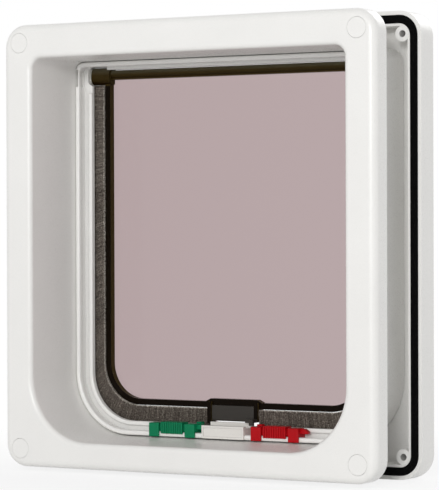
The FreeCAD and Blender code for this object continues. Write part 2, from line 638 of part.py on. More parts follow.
def ridge_and_shoulder(body):
    """Ridge on the web's inner edge, and the shoulder behind the brush, both below the hinge."""
    ridge = new_sketch(body, "ridge", ridge_front)
    u_band(ridge, "Size.web_inset - Size.ridge_width", "Size.web_inset", ridge_top)
    pad(body, ridge, "Size.ridge_proud + Size.web_thickness / 2")
    ridge_depth = number(ridge_front)
    fillet(body, "ridge_round", "Size.ridge_round", lambda edge: flat_at(edge, "Y", ridge_depth))
    shoulder = new_sketch(body, "shoulder", shoulder_front)
    u_band(shoulder, "Size.collar_wall / 2", "Size.shoulder_inset", brush_top)
    pad(body, shoulder, "Size.shoulder_thickness")


def u_band(sketch, outer, inner, top):
    """A band along both sides and the sill of the collar, between two insets, up to a height."""
    corners = []
    for inset in (outer, inner):
        half = f"{collar_half} - ({inset})"
        low = f"-({collar_bottom} - ({inset}))"
        radius = f"{collar_corner} - ({inset})"
        corners.append([(minus(half), top), (minus(half), low, radius), (half, low, radius), (half, top)])
    outline(sketch, corners[0] + corners[1][::-1])


def collar_cuts(body):
    """Notches, hinge windows and the keeper's gap."""
    notches = new_sketch(body, "notches", collar_front)
    edge = f"{collar_half} - Size.notch_cut"
    beyond = f"{collar_half} + Size.notch_cut"
    for low, high in ((edge, beyond), (minus(beyond), minus(edge))):
        box(notches, low, high, notch_bottom, notch_top)
    pocket(body, notches, "Size.notch_depth")

    windows = new_sketch(body, "hinge_windows", web_front)
    low = f"{axis_height} - Size.ear_drop - Size.ear_window_gap"
    high = f"{axis_height} + Size.ear_width / 2 + Size.ear_window_gap"
    outer = f"{ear_outer} + Size.ear_window_gap"
    corner = "Size.ear_round - Size.ear_window_gap"
    outline(windows, [(ear_inner, low), (outer, low, corner), (outer, high, corner), (ear_inner, high)])
    outline(windows, [(minus(ear_inner), high), (minus(outer), high, corner),
                      (minus(outer), low, corner), (minus(ear_inner), low)])
    pocket(body, windows, "Size.web_thickness")

    gap = new_sketch(body, "keeper_gap", ridge_front)
    box(gap, "-Size.window_half", "Size.window_half", minus(sill_floor), minus(flap_bottom))
    pocket(body, gap, "Size.ridge_proud + Size.web_thickness")


def weather_seal():
    """Foam seal that closes on the door round the outdoor frame."""
    body = new_body("weather_seal")
    ring = new_sketch(body, "ring", f"{rear_front} - Size.seal_proud")
    outer = "Size.rear_wall + Size.seal_gap"
    rear_box(ring, outer)
    rear_box(ring, f"{outer} + Size.seal_width")
    pad(body, ring, "Size.seal_height")


def brush_parts(side, sign):
    """Pile and backing of one brush: down one side, round the corner and along the sill."""
    root = "Size.backing_gap + Size.collar_wall + Size.backing_thickness"
    pile = new_body(f"brush_pile_{side}")
    section = new_sketch(pile, "section", brush_front)
    tip_half = f"{flap_half} + Size.brush_gap"
    tip_low = f"-({flap_bottom} + Size.brush_gap)"
    j_band(section, sign, (f"{collar_half} - ({root})", f"-({collar_bottom} - ({root}))",
                           f"{collar_corner} - ({root})"),
           (tip_half, tip_low, "Size.flap_corner + Size.brush_gap"), "Size.brush_end")
    pad(pile, section, "Size.brush_thickness")

    backing = new_body(f"brush_backing_{side}")
    strip = new_sketch(backing, "strip", web_back)
    back = "Size.backing_gap + Size.collar_wall"
    j_band(strip, sign, (f"{collar_half} - ({back})", f"-({collar_bottom} - ({back}))",
                         f"{collar_corner} - ({back})"),
           (f"{collar_half} - ({root})", f"-({collar_bottom} - ({root}))", f"{collar_corner} - ({root})"),
           "Size.backing_end")
    pad(backing, strip, f"{shoulder_front} - {web_back}")


def j_band(sketch, sign, outer, inner, end):
    """A band down one side and along the sill, from the brush's upper end to an end beside the middle."""
    corners = [(f"{sign} * ({outer[0]})", brush_top),
               (f"{sign} * ({outer[0]})", outer[1], outer[2]),
               (f"{sign} * ({end})", outer[1]),
               (f"{sign} * ({end})", inner[1]),
               (f"{sign} * ({inner[0]})", inner[1], inner[2]),
               (f"{sign} * ({inner[0]})", brush_top)]
    outline(sketch, corners if sign < 0 else corners[::-1])


def pivot_parts(side, sign):
    """Pin pressed into the flap's ear, and the clip in the collar that it turns in."""
    start = f"{ear_outer} - Size.pin_grip"
    pin_end = f"{collar_inner} - Size.pin_end_gap"
    pin = new_body(f"pivot_pin_{side}")
    section = new_sketch(pin, "section", side=start if sign > 0 else minus(pin_end))
    circle(section, axis_depth, axis_height, "Size.pin_diameter")
    pad(pin, section, f"{pin_end} - ({start})")

    clip = new_body(f"pivot_clip_{side}")
    near = f"{ear_outer} + Size.clip_gap"
    low = f"{axis_height} - Size.clip_drop"
    high = f"{collar_top} - Size.collar_wall - Size.clip_top_gap"
    plate = new_sketch(clip, "plate", f"{axis_depth} - Size.clip_width / 2")
    corners = [(f"{sign} * ({near})", low), (f"{sign} * ({collar_inner})", low),
               (f"{sign} * ({collar_inner})", high, "Size.clip_round"), (f"{sign} * ({near})", high)]
    outline(plate, corners if sign > 0 else corners[::-1])
    pad(clip, plate, "Size.clip_width")
    bore = new_sketch(clip, "bore", side=near if sign > 0 else minus(collar_inner))
    circle(bore, axis_depth, axis_height, "Size.pin_diameter + 2 * Size.pin_gap")
    pocket(clip, bore, f"{collar_inner} - ({near})")


def flap():
    """Clear tinted flap with a raised rim, hinge barrel and ears, and cheeks for the magnet housing."""
    body = new_body("flap")
    plate = new_sketch(body, "plate", rim_front)
    low = minus(flap_bottom)
    top = axis_height
    corner = "Size.flap_corner"
    outline(plate, [(minus(flap_half), low, corner), (flap_half, low, corner),
                    (flap_half, top), (minus(flap_half), top)])
    pad(body, plate, f"{panel_back} - {rim_front}")
    recess = new_sketch(body, "recess", rim_front)
    inner_half = f"{flap_half} - Size.flap_rim"
    inner_low = f"-({flap_bottom} - Size.flap_rim)"
    inner_top = f"{axis_height} - Size.barrel_diameter / 2"
    inner_corner = "Size.flap_corner - Size.flap_rim"
    outline(recess, [(minus(inner_half), inner_low, inner_corner), (inner_half, inner_low, inner_corner),
                     (inner_half, inner_top), (minus(inner_half), inner_top)])
    pocket(body, recess, f"{panel_front} - {rim_front}")

    step = new_sketch(body, "rim_step", rim_front)
    high = f"-({flap_bottom} - Size.flap_rim - Size.step_rise)"
    foot = f"-({flap_bottom} - Size.flap_rim / 2)"
    outline(step, [("-Size.step_half", foot), ("Size.step_half", foot), ("Size.step_half", inner_low),
                   ("Size.step_half - 2 * Size.step_rise", high),
                   ("-(Size.step_half - 2 * Size.step_rise)", high), ("-Size.step_half", inner_low)])
    pad(body, step, f"{panel_front} - {rim_front}")
    notch = new_sketch(body, "housing_notch", rim_front)
    box(notch, minus(cheek_inner), cheek_inner, f"-({flap_bottom} + Size.housing_gap)",
        f"-({housing_top} - Size.housing_gap)")
    pocket(body, notch, f"{panel_back} - {rim_front}")
    cheeks(body)

    tongue = new_sketch(body, "tongue", tongue_front())
    half = "Size.flap_magnet_width / 2"
    box(tongue, minus(half), half, f"-({housing_top} + Size.tongue_height)",
        f"-({housing_top} - Size.flap_rim / 2)")
    pad(body, tongue, "Size.flap_magnet_depth")

    hinge = (axis_depth, axis_height)
    ear_front = f"{axis_depth} - Size.ear_width / 2"
    ear_back = f"{axis_depth} + Size.ear_width / 2"
    ear_foot = f"{axis_height} - Size.ear_drop"
    ear_top = f"{axis_height} + Size.ear_width / 2"
    barrel = new_sketch(body, "barrel", side=minus(ear_inner))
    circle(barrel, *hinge, "Size.barrel_diameter")
    pad(body, barrel, f"2 * {ear_inner}")
    for side, sign in SIDES.items():
        start = ear_inner if sign > 0 else minus(ear_outer)
        ear = new_sketch(body, f"ear_{side}", side=start)
        outline(ear, [(ear_front, ear_foot, "Size.ear_round"), (ear_back, ear_foot, "Size.ear_round"),
                      (ear_back, ear_top, "Size.ear_round"), (ear_front, ear_top, "Size.ear_round")])
        pad(body, ear, "Size.ear_length")
        start = f"{ear_outer} - Size.pin_grip - Size.pin_end_gap" if sign > 0 else minus(ear_outer)
        bore = new_sketch(body, f"pin_bore_{side}", side=start)
        circle(bore, *hinge, "Size.pin_diameter + 2 * Size.pin_gap")
        pocket(body, bore, "Size.pin_grip + Size.pin_end_gap")


def tongue_front():
    """Depth of the front of the flap magnet and of the tongue above it."""
    return f"{housing_front} + Size.flap_magnet_inset + Size.magnet_gap"


def cheeks(body):
    """Cheeks beside the housing. The left one reaches down to the green catch's nose."""
    top = f"-({flap_bottom} - Size.flap_rim)"
    left = new_sketch(body, "left_cheek", side=minus(cheek_outer))
    box(left, cheek_front, panel_back, minus(cheek_bottom), top)
    pad(body, left, "Size.cheek_width")
    right = new_sketch(body, "right_cheek", side=cheek_inner)
    box(right, cheek_front, panel_back, minus(hook_bottom), top)
    pad(body, right, "Size.cheek_width")


def nose_front():
    """Depth of the front of the catches' noses."""
    return f"({ridge_front} + Size.slide_gap)"


def magnet_housing():
    """Dark cup under the flap for the magnet, with a hook that the red catch's nose holds."""
    body = new_body("magnet_housing")
    block = new_sketch(body, "block", housing_front)
    box(block, minus(housing_half), housing_half, minus(housing_bottom), minus(housing_top))
    pad(body, block, "Size.housing_depth")
    low = -number(housing_bottom)
    front = number(housing_front)
    fillet(body, "front_round", "Size.housing_round", lambda edge: flat_at(edge, "Y", front)
           or flat_at(edge, "Z", low))
    hollow = new_sketch(body, "hollow", f"{tongue_front()} - Size.magnet_gap")
    half = "Size.flap_magnet_width / 2 + Size.magnet_gap"
    box(hollow, minus(half), half, minus(magnet_floor), minus(housing_top))
    pocket(body, hollow, "Size.flap_magnet_depth + 2 * Size.magnet_gap")

    toe_back = f"({nose_front()} - Size.slide_gap)"
    toe_front = f"({toe_back} - Size.toe_thickness)"
    hook_left = f"{cheek_outer} - Size.hook_width"
    arm_top = f"-({hook_bottom} - Size.hook_height)"
    arm = new_sketch(body, "hook_arm", toe_front)
    box(arm, hook_left, cheek_outer, minus(hook_bottom), arm_top)
    pad(body, arm, f"{cheek_front} - Size.slide_gap - {toe_front}")
    root = new_sketch(body, "hook_root", toe_back)
    box(root, hook_left, housing_half, minus(hook_bottom), arm_top)
    pad(body, root, f"{housing_front} + Size.housing_round - {toe_back}")
    toe = new_sketch(body, "hook_toe", toe_front)
    box(toe, cheek_inner, cheek_outer, minus(cheek_bottom), f"-({hook_bottom} - Size.hook_height / 2)")
    pad(body, toe, "Size.toe_thickness")


def flap_magnet():
    body = new_body("flap_magnet")
    block = new_sketch(body, "block", tongue_front())
    half = "Size.flap_magnet_width / 2"
    box(block, minus(half), half, minus(magnet_floor), f"-({magnet_floor} - Size.flap_magnet_height)")
    pad(body, block, "Size.flap_magnet_depth")


def keeper_block():
    """White block on the sill that holds the lower magnet and takes the green catch's tail."""
    body = new_body("keeper_block")
    section = new_sketch(body, "section", side=minus(keeper_half))
    apron_back = f"{keeper_front} + Size.apron"
    trough_front = f"{keeper_front} + Size.keeper_front_lip"
    trough_back = f"{keeper_back} - Size.keeper_back_lip"
    bead_back = f"{collar_front} + Size.lip_depth + Size.slide_gap"
    outline(section, [(keeper_front, minus(keeper_drop)), (apron_back, minus(keeper_drop)),
                      (apron_back, minus(lip_floor)), (bead_back, minus(lip_floor)),
                      (bead_back, minus(sill_floor)), (keeper_back, minus(sill_floor)),
                      (keeper_back, minus(keeper_back_top)),
                      (trough_back, minus(keeper_back_top)), (trough_back, minus(keeper_trough)),
                      (trough_front, minus(keeper_trough)), (trough_front, minus(keeper_front_top)),
                      (keeper_front, minus(keeper_front_top))])
    pad(body, section, "Size.keeper_width")
    front = number(keeper_front)
    fillet(body, "front_round", "Size.pad_round", lambda edge: flat_at(edge, "Y", front)
           and not flat_at(edge, "Z", -number(keeper_drop)))
    panel = new_sketch(body, "front_panel", keeper_front)
    border = "Size.keeper_border"
    box(panel, f"-({keeper_half} - {border})", f"{keeper_half} - {border}",
        f"-({keeper_drop} - {border})", f"-({keeper_front_top} + {border})")
    pocket(body, panel, "Size.keeper_relief")
    tail = new_sketch(body, "tail_slot", side=minus(keeper_half))
    gap = "Size.slide_gap"
    box(tail, f"{tail_front} - {gap}", f"{tail_front} + Size.tail_thickness + {gap}",
        f"-({tail_bottom} + {gap})", f"-({tail_top} - {gap})")
    reach = f"{keeper_half} - Size.catch_reach + Size.tail_length + Size.catch_travel + 2 * {gap}"
    pocket(body, tail, reach)
    seat = new_sketch(body, "magnet_seat", keeper_magnet_front())
    half = "Size.keeper_magnet_width / 2 + Size.magnet_gap"
    box(seat, minus(half), half, minus(sill_floor),
        f"-({sill_floor} - Size.keeper_magnet_height - Size.magnet_gap)")
    pocket(body, seat, "Size.keeper_magnet_depth + 2 * Size.magnet_gap")


def keeper_magnet_front():
    """Depth of the front of the lower magnet's seat, which sits against the block's back wall."""
    return f"{keeper_back} - Size.keeper_border - Size.keeper_magnet_depth - 2 * Size.magnet_gap"


def keeper_magnet():
    body = new_body("keeper_magnet")
    block = new_sketch(body, "block", f"{keeper_magnet_front()} + Size.magnet_gap")
    half = "Size.keeper_magnet_width / 2"
    box(block, minus(half), half, minus(sill_floor), f"-({sill_floor} - Size.keeper_magnet_height)")
    pad(body, block, "Size.keeper_magnet_depth")


def catch(label, start, nose_start):
    """Sliding catch that rides on the sill's bead: two pads, a ribbed grip, a tail and a nose."""
    body = new_body(label)
    gap = "Size.slide_gap"
    bar_back = f"{ridge_front} - {gap}"
    keel_back = f"{web_front} - {gap}"
    bead_back = f"{collar_front} + Size.lip_depth + {gap}"
    over_lip = f"-({lip_floor} - {gap})"
    over_sill = f"-({sill_floor} - {gap})"
    ridge_low = f"-({collar_bottom} - Size.web_inset + Size.ridge_width + {gap})"
    bar = new_sketch(body, "bar", side=start)
    outline(bar, [(bar_front, over_lip), (bead_back, over_lip), (bead_back, over_sill),
                  (keel_back, over_sill), (keel_back, ridge_low), (bar_back, ridge_low),
                  (bar_back, minus(bar_top)), (bar_front, minus(bar_top))])
    pad(body, bar, catch_length)

    front = keeper_front
    leaf_back = f"{collar_front} - {gap}"
    for i, offset in enumerate(("0", f"{catch_length} - Size.pad_width"), 1):
        leaf = new_sketch(body, f"pad_{i}", side=f"{start} + {offset}")
        outline(leaf, [(front, minus(pad_bottom)), (leaf_back, minus(pad_bottom)), (leaf_back, over_lip),
                       (bar_back, over_lip), (bar_back, minus(pad_top)), (front, minus(pad_top))])
        pad(body, leaf, "Size.pad_width")
    front_place = number(front)
    fillet(body, "pad_round", "Size.pad_round", lambda edge: flat_at(edge, "Y", front_place))

    grip = new_sketch(body, "grip", side=f"{start} + Size.pad_width + Size.pad_split")
    grip_front = f"{front} + Size.grip_rib_depth"
    outline(grip, [(grip_front, minus(grip_bottom)), (leaf_back, minus(grip_bottom)),
                   (leaf_back, over_lip), (bar_back, over_lip), (bar_back, minus(grip_top)),
                   (grip_front, minus(grip_top))])
    pad(body, grip, "Size.grip_width")
    rib = new_sketch(body, "grip_rib", front)
    rib_left = f"{start} + Size.pad_width + Size.pad_split"
    box(rib, rib_left, f"{rib_left} + Size.grip_rib", minus(grip_bottom), minus(grip_top))
    row_of(body, pad(body, rib, f"Size.grip_rib_depth + ({collar_front} - Size.slide_gap - "
                     f"{keeper_front} - Size.grip_rib_depth) / 2"),
           "X_Axis", "Size.grip_width - Size.grip_rib", GRIP_RIBS, "grip_ribs")

    end = f"{start} + {catch_length}"
    tail = new_sketch(body, "tail", tail_front)
    outline(tail, [(f"{end} - Size.pad_width / 2", minus(tail_bottom)),
                   (f"{end} + Size.tail_length", minus(tail_bottom)),
                   (f"{end} + Size.tail_length", f"-({tail_bottom} + {tail_top}) / 2"),
                   (f"{end} + Size.tail_length / 2", minus(tail_top)),
                   (f"{end} - Size.pad_width / 2", minus(tail_top))])
    pad(body, tail, "Size.tail_thickness")
    root = f"{bar_back} - Size.nose_root"
    nose = new_sketch(body, "nose", side=nose_start)
    outline(nose, [(root, over_lip), (nose_back, over_lip), (nose_back, minus(nose_top)),
                   (nose_front(), minus(nose_top)), (nose_front(), minus(bar_top)),
                   (root, minus(bar_top))])
    pad(body, nose, "Size.nose_length")


interior_frame()
screw_caps()
exterior_frame()
weather_seal()
for side, sign in SIDES.items():
    brush_parts(side, sign)
    pivot_parts(side, sign)
flap()
magnet_housing()
flap_magnet()
keeper_block()
keeper_magnet()
catch("green_catch", f"-(Size.catch_reach + {catch_length})", "-(Size.catch_reach + Size.nose_length)")
catch("red_catch", "Size.catch_reach", "Size.catch_reach")

doc.recompute()
for item in doc.Objects:
    if "Invalid" in item.State or "Error" in item.State:
        raise RuntimeError(f"{item.Label} is {item.State}")
pieces = [item for item in doc.Objects if item.TypeId == "PartDesign::Body"]
for piece in pieces:
    if piece.Shape.isNull() or not piece.Shape.isValid() or len(piece.Shape.Solids) != 1:
        raise RuntimeError(f"{piece.Label} has no sound solid")
for piece in pieces:
    piece.Shape.exportStep(f"parts/{piece.Label}.step")
    print(f"{piece.Label}: {piece.Shape.Volume / 1000:.2f} cm3")
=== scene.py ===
import math
import random

import bpy
from mathutils import Matrix, Vector


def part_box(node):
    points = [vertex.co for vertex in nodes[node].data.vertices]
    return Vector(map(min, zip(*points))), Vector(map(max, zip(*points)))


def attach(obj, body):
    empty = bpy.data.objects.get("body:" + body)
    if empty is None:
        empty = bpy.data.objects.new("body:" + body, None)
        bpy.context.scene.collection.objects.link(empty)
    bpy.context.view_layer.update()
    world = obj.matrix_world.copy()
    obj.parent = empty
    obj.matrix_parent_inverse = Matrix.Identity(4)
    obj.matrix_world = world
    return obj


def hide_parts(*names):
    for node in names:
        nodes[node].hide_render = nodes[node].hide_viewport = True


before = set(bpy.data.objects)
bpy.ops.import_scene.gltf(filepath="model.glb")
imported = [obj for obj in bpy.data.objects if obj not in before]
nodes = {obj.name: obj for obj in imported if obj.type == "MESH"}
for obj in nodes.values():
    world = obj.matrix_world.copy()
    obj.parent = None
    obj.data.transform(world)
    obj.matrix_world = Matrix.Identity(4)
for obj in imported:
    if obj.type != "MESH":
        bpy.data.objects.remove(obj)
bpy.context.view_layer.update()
print("frame loaded,", len(nodes), "pieces")

millimetre = 0.001


def hexColour(code):
    # sRGB hex to the linear colour that the sockets take
    parts = [int(code[i:i + 2], 16) / 255 for i in (1, 3, 5)]
    linear = [p / 12.92 if p <= 0.04045 else ((p + 0.055) / 1.055) ** 2.4 for p in parts]
    return (*linear, 1.0)


plainWhite = hexColour("#FFFFFF")


def addNode(tree, kind, settings={}, links={}):
    # a setting goes to the socket of that name, or else to the node itself, and stops are the
    # places and hex colours of a ramp; a link goes to the socket of that name or number
    node = tree.nodes.new(kind)
    for name, value in settings.items():
        if name == "stops":
            elements = node.color_ramp.elements
            for end in (0, -1):
                place, code = value[end]
                elements[end].position = place
                elements[end].color = hexColour(code)
            for place, code in value[1:-1]:
                elements.new(place).color = hexColour(code)
        elif name in node.inputs:
            node.inputs[name].default_value = value
        else:
            setattr(node, name, value)
    for name, source in links.items():
        tree.links.new(source, node.inputs[name])
    return node


def newMaterial(name):
    # an empty material, and the object's own points to lay patterns on
    material = bpy.data.materials.new(name)
    material.use_nodes = True
    tree = material.node_tree
    tree.nodes.clear()
    return material, tree, addNode(tree, "ShaderNodeTexCoord").outputs["Object"]


def addMesh(name, vertices, faces, material):
    mesh = bpy.data.meshes.new(name)
    mesh.from_pydata(vertices, [], faces)
    mesh.materials.append(material)
    mesh.validate()
    piece = bpy.data.objects.new(name, mesh)
    bpy.context.collection.objects.link(piece)
    return piece


photoCamera = {
    "place": (0.73309, -1.22829, 0.13807),  # metres
    "turn": 30.7265,  # degrees round from straight on, towards +X
    "dip": 0.4111,  # degrees down
    "roll": -0.1784,  # degrees
    "lens": 188.22,  # millimetres, on Blender's own 36 mm sensor
    "clipEnd": 30,  # metres, past the floor's far end
}


def addCamera(values):
    turn = math.radians(values["turn"])
    dip = math.radians(values["dip"])
    roll = math.radians(values["roll"])
    level = Vector((math.cos(turn), math.sin(turn), 0))
    ahead = Vector((-math.sin(turn) * math.cos(dip), math.cos(turn) * math.cos(dip),
                    -math.sin(dip)))
    rise = level.cross(ahead)
    right = level * math.cos(roll) + rise * math.sin(roll)
    up = rise * math.cos(roll) - level * math.sin(roll)
    axes = Matrix((right, up, -ahead)).transposed().to_4x4()
    camera = bpy.data.objects.new("Camera", bpy.data.cameras.new("Camera"))
    camera.data.lens = values["lens"]
    camera.data.clip_end = values["clipEnd"]
    camera.matrix_world = Matrix.Translation(values["place"]) @ axes
    bpy.context.collection.objects.link(camera)
    bpy.context.scene.camera = camera


room = {
    "worldLight": 0.51,
    "worldTint": "#FFFFFF",
    "floorReach": 12.0,  # metres
    "floorPaper": "#F4F4F4",
    "shadowCore": 0.1,  # metres from the object's middle to where its soft shadow starts to fade
    "shadowReach": 0.34,  # and to where the floor is plain white
    "shadowFade": 0.82,  # share of plain white inside the core
    "lampAim": (0, 0, 0.12),  # near the object's middle
}

lamps = {
    # name: place, size in metres, watts
    "frontRight": ((0.95, -2.55, 0.7), 0.5, 23),
    "front": ((0.5, -2.8, 0.35), 0.9, 5),
    "behind": ((0.2, 2.5, 1.6), 1.6, 22),
}


def backgroundRays(tree):
    # 1 where a ray from the camera, a mirror or clear plastic sees the surface
    paths = addNode(tree, "ShaderNodeLightPath")
    seen = addNode(tree, "ShaderNodeMath", {"operation": "MAXIMUM"},
                   {0: paths.outputs["Is Camera Ray"], 1: paths.outputs["Is Glossy Ray"]})
    through = addNode(tree, "ShaderNodeMath", {"operation": "MAXIMUM"},
                      {0: seen.outputs[0], 1: paths.outputs["Is Transmission Ray"]})
    return through.outputs[0]


def addWorld(values):
    world = bpy.data.worlds.new("Studio")
    bpy.context.scene.world = world
    world.use_nodes = True
    tree = world.node_tree
    tree.nodes.clear()
    lit = addNode(tree, "ShaderNodeBackground",
                  {"Color": hexColour(values["worldTint"]), "Strength": values["worldLight"]})
    white = addNode(tree, "ShaderNodeBackground", {"Color": plainWhite, "Strength": 1.0})
    mix = addNode(tree, "ShaderNodeMixShader", {},
                  {"Fac": backgroundRays(tree), 1: lit.outputs[0], 2: white.outputs[0]})
    addNode(tree, "ShaderNodeOutputWorld", {}, {"Surface": mix.outputs[0]})


def addFloor(values):
    # white paper: plain white to the eye, with a soft shadow under the object only
    material, tree, points = newMaterial("whitePaperFloor")
    paper = addNode(tree, "ShaderNodeBsdfDiffuse", {"Color": hexColour(values["floorPaper"])})
    light = addNode(tree, "ShaderNodeEmission", {"Color": plainWhite, "Strength": 1.0})
    distance = addNode(tree, "ShaderNodeVectorMath", {"operation": "LENGTH"}, {0: points})
    far = addNode(tree, "ShaderNodeMapRange",
                  {"From Min": values["shadowCore"], "From Max": values["shadowReach"],
                   "To Min": values["shadowFade"], "To Max": 1.0},
                  {"Value": distance.outputs["Value"]})
    share = addNode(tree, "ShaderNodeMath", {"operation": "MULTIPLY"},
                    {0: backgroundRays(tree), 1: far.outputs[0]})
    mix = addNode(tree, "ShaderNodeMixShader", {},
                  {"Fac": share.outputs[0], 1: paper.outputs[0], 2: light.outputs[0]})
    addNode(tree, "ShaderNodeOutputMaterial", {}, {"Surface": mix.outputs[0]})
    reach = values["floorReach"]
    corners = [(-reach, -reach, 0), (reach, -reach, 0), (reach, reach, 0), (-reach, reach, 0)]
    floor = addMesh("Floor", corners, [(0, 1, 2, 3)], material)


def addLamp(name, place, size, watts):
    lamp = bpy.data.lights.new(name, "AREA")
    lamp.size = size
    lamp.energy = watts
    holder = bpy.data.objects.new(name, lamp)
    holder.visible_transmission = False  # the lamp isn't seen through the clear flap
    holder.location = place
    towards = Vector(room["lampAim"]) - Vector(place)
    holder.rotation_euler = towards.to_track_quat("-Z", "Y").to_euler()
    bpy.context.collection.objects.link(holder)


bpy.context.scene.view_settings.view_transform = "Standard"
addCamera(photoCamera)
addWorld(room)
addFloor(room)
for name, (place, size, watts) in lamps.items():
    addLamp(name, place, size, watts)
print("camera and room done")

moulded = {
    # what moulded plastics share, unless one has its own
    "ior": 1.53,  # ABS, nylon and PVC are all near this
    "specular": 0.5,
    "cloud": 38,  # millimetres; slow drift of the colour
    "grain": 0.45,  # millimetres; real grain is near 0.1 mm, drawn coarser so that it shows
    "grainShow": 0.35,
    "glossSpread": 0.05,  # the grain takes the roughness this far up and down
    "edgeRadius": 0.35,  # millimetres
    "nookPaintedShade": 0.0,  # painted shade: share of its lightness that the plastic loses in nooks
    "nookShadeReach": 9.0,  # millimetres; wider grooves and corners lose none
}


def paintedNookShade(tree, tone, values):
    # painted shade: grooves and inner corners narrower than the reach are painted darker
    nookOcclusion = addNode(tree, "ShaderNodeAmbientOcclusion",
                        {"samples": 8, "only_local": True,
                         "Distance": values["nookShadeReach"] * millimetre})
    dull = addNode(tree, "ShaderNodeMapRange",
                   {"From Min": 0.2, "From Max": 0.75,
                    "To Min": 1 - values["nookPaintedShade"], "To Max": 1.0},
                   {"Value": nookOcclusion.outputs["AO"]})
    return addNode(tree, "ShaderNodeHueSaturation", {},
                   {"Color": tone.outputs["Color"], "Value": dull.outputs[0]})


def mouldedPlastic(name, own):
    # injection-moulded plastic from an eroded tool: an even colour, a fine satin grain that breaks
    # up the gloss, edges that catch a thin line of light, and painted shade darkening its nooks
    values = {**moulded, **own}
    roughness, spread = values["roughness"], values["glossSpread"]
    material, tree, points = newMaterial(name)
    cloud = addNode(tree, "ShaderNodeTexNoise",
                    {"Scale": 1 / (values["cloud"] * millimetre), "Detail": 3.0},
                    {"Vector": points})
    tone = addNode(tree, "ShaderNodeValToRGB",
                   {"stops": [(0.3, values["shade"]), (0.7, values["colour"])]},
                   {"Fac": cloud.outputs["Fac"]})
    # painted shade in the nooks, where the finish asks for it
    if values["nookPaintedShade"]:
        tone = paintedNookShade(tree, tone, values)
    grain = addNode(tree, "ShaderNodeTexNoise",
                    {"Scale": 1 / (values["grain"] * millimetre), "Detail": 2.0},
                    {"Vector": points})
    gloss = addNode(tree, "ShaderNodeMapRange",
                    {"From Min": 0.3, "From Max": 0.7,
                     "To Min": roughness - spread, "To Max": roughness + spread},
                    {"Value": grain.outputs["Fac"]})
    edge = addNode(tree, "ShaderNodeBevel",
                   {"samples": 4, "Radius": values["edgeRadius"] * millimetre})
    bump = addNode(tree, "ShaderNodeBump",
                   {"Strength": values["grainShow"],
                    "Distance": values["grainDepth"] * millimetre},
                   {"Height": grain.outputs["Fac"], "Normal": edge.outputs[0]})
    shader = addNode(tree, "ShaderNodeBsdfPrincipled",
                     {"IOR": values["ior"], "Specular IOR Level": values["specular"]},
                     {"Base Color": tone.outputs["Color"], "Roughness": gloss.outputs[0],
                      "Normal": bump.outputs[0]})
    addNode(tree, "ShaderNodeOutputMaterial", {}, {"Surface": shader.outputs[0]})
    return material


def tintedAcrylic(name, values):
    # smoked clear acrylic, moulded and polished: the tint is in its depth, so the thin panel
    # stays light and the thick rim, hinge and cheeks go nearly black, with painted light on their
    # flanks and hinge
    material, tree, points = newMaterial(name)
    haze = addNode(tree, "ShaderNodeTexNoise",
                   {"Scale": 1 / (values["haze"] * millimetre), "Detail": 2.0},
                   {"Vector": points})
    smooth, dull = values["roughness"]
    gloss = addNode(tree, "ShaderNodeMapRange",
                    {"From Min": 0.35, "From Max": 0.75, "To Min": smooth, "To Max": dull},
                    {"Value": haze.outputs["Fac"]})
    clear = addNode(tree, "ShaderNodeBsdfPrincipled",
                    {"Base Color": plainWhite, "IOR": values["clearIor"],
                     "Transmission Weight": 1.0},
                    {"Roughness": gloss.outputs[0]})
    place = addNode(tree, "ShaderNodeSeparateXYZ", {}, {"Vector": points})
    normals = addNode(tree, "ShaderNodeTexCoord").outputs["Normal"]
    facing = addNode(tree, "ShaderNodeSeparateXYZ", {}, {"Vector": normals})
    # painted light: the rim is painted black where it faces square on and brown on its flanks, for
    # the glow that light through the acrylic gives there
    flank = addNode(tree, "ShaderNodeMath", {"operation": "ABSOLUTE"}, {0: facing.outputs["Y"]})
    paintedRimLight = addNode(tree, "ShaderNodeValToRGB",
                      {"stops": [(0.95, values["flankPaintedGlow"]), (0.999, values["thickColour"])]},
                      {"Fac": flank.outputs[0]})
    # painted reflection and painted shade: the round hinge is painted greyer on top and browner
    # below
    height = addNode(tree, "ShaderNodeMapRange", {"From Min": -1.0, "From Max": 1.0},
                     {"Value": facing.outputs["Z"]})
    paintedHingeLight = addNode(tree, "ShaderNodeValToRGB",
                        {"stops": [(0.1, values["hingeBelowPaintedShade"]), (0.5, values["hingeFront"]),
                                   (0.9, values["hingeTopPaintedReflection"])]},
                        {"Fac": height.outputs[0]})
    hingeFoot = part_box("flap")[1][2] - values["hingeHeight"] * millimetre
    hinge = addNode(tree, "ShaderNodeMapRange",
                    {"From Min": hingeFoot - values["hingeBlend"] * millimetre,
                     "From Max": hingeFoot},
                    {"Value": place.outputs["Z"]})
    paintedGlow = addNode(tree, "ShaderNodeMixRGB", {},
                   {"Fac": hinge.outputs[0], "Color1": paintedRimLight.outputs["Color"],
                    "Color2": paintedHingeLight.outputs["Color"]})
    thick = addNode(tree, "ShaderNodeBsdfPrincipled",
                    {"IOR": values["thickIor"], "Roughness": values["thickRoughness"],
                     "Specular IOR Level": values["thickSpecular"]},
                    {"Base Color": paintedGlow.outputs["Color"]})
    # what stands in front of the panel is thick, and lets next to no light out again
    front = values["panelFront"]
    panel = addNode(tree, "ShaderNodeMapRange",
                    {"From Min": front - values["panelBlend"] * millimetre, "From Max": front},
                    {"Value": place.outputs["Y"]})
    mix = addNode(tree, "ShaderNodeMixShader", {},
                  {"Fac": panel.outputs[0], 1: thick.outputs[0], 2: clear.outputs[0]})
    depth = addNode(tree, "ShaderNodeVolumeAbsorption",
                    {"Color": values["passes"], "Density": values["density"]})
    addNode(tree, "ShaderNodeOutputMaterial", {},
            {"Surface": mix.outputs[0], "Volume": depth.outputs[0]})
    return material


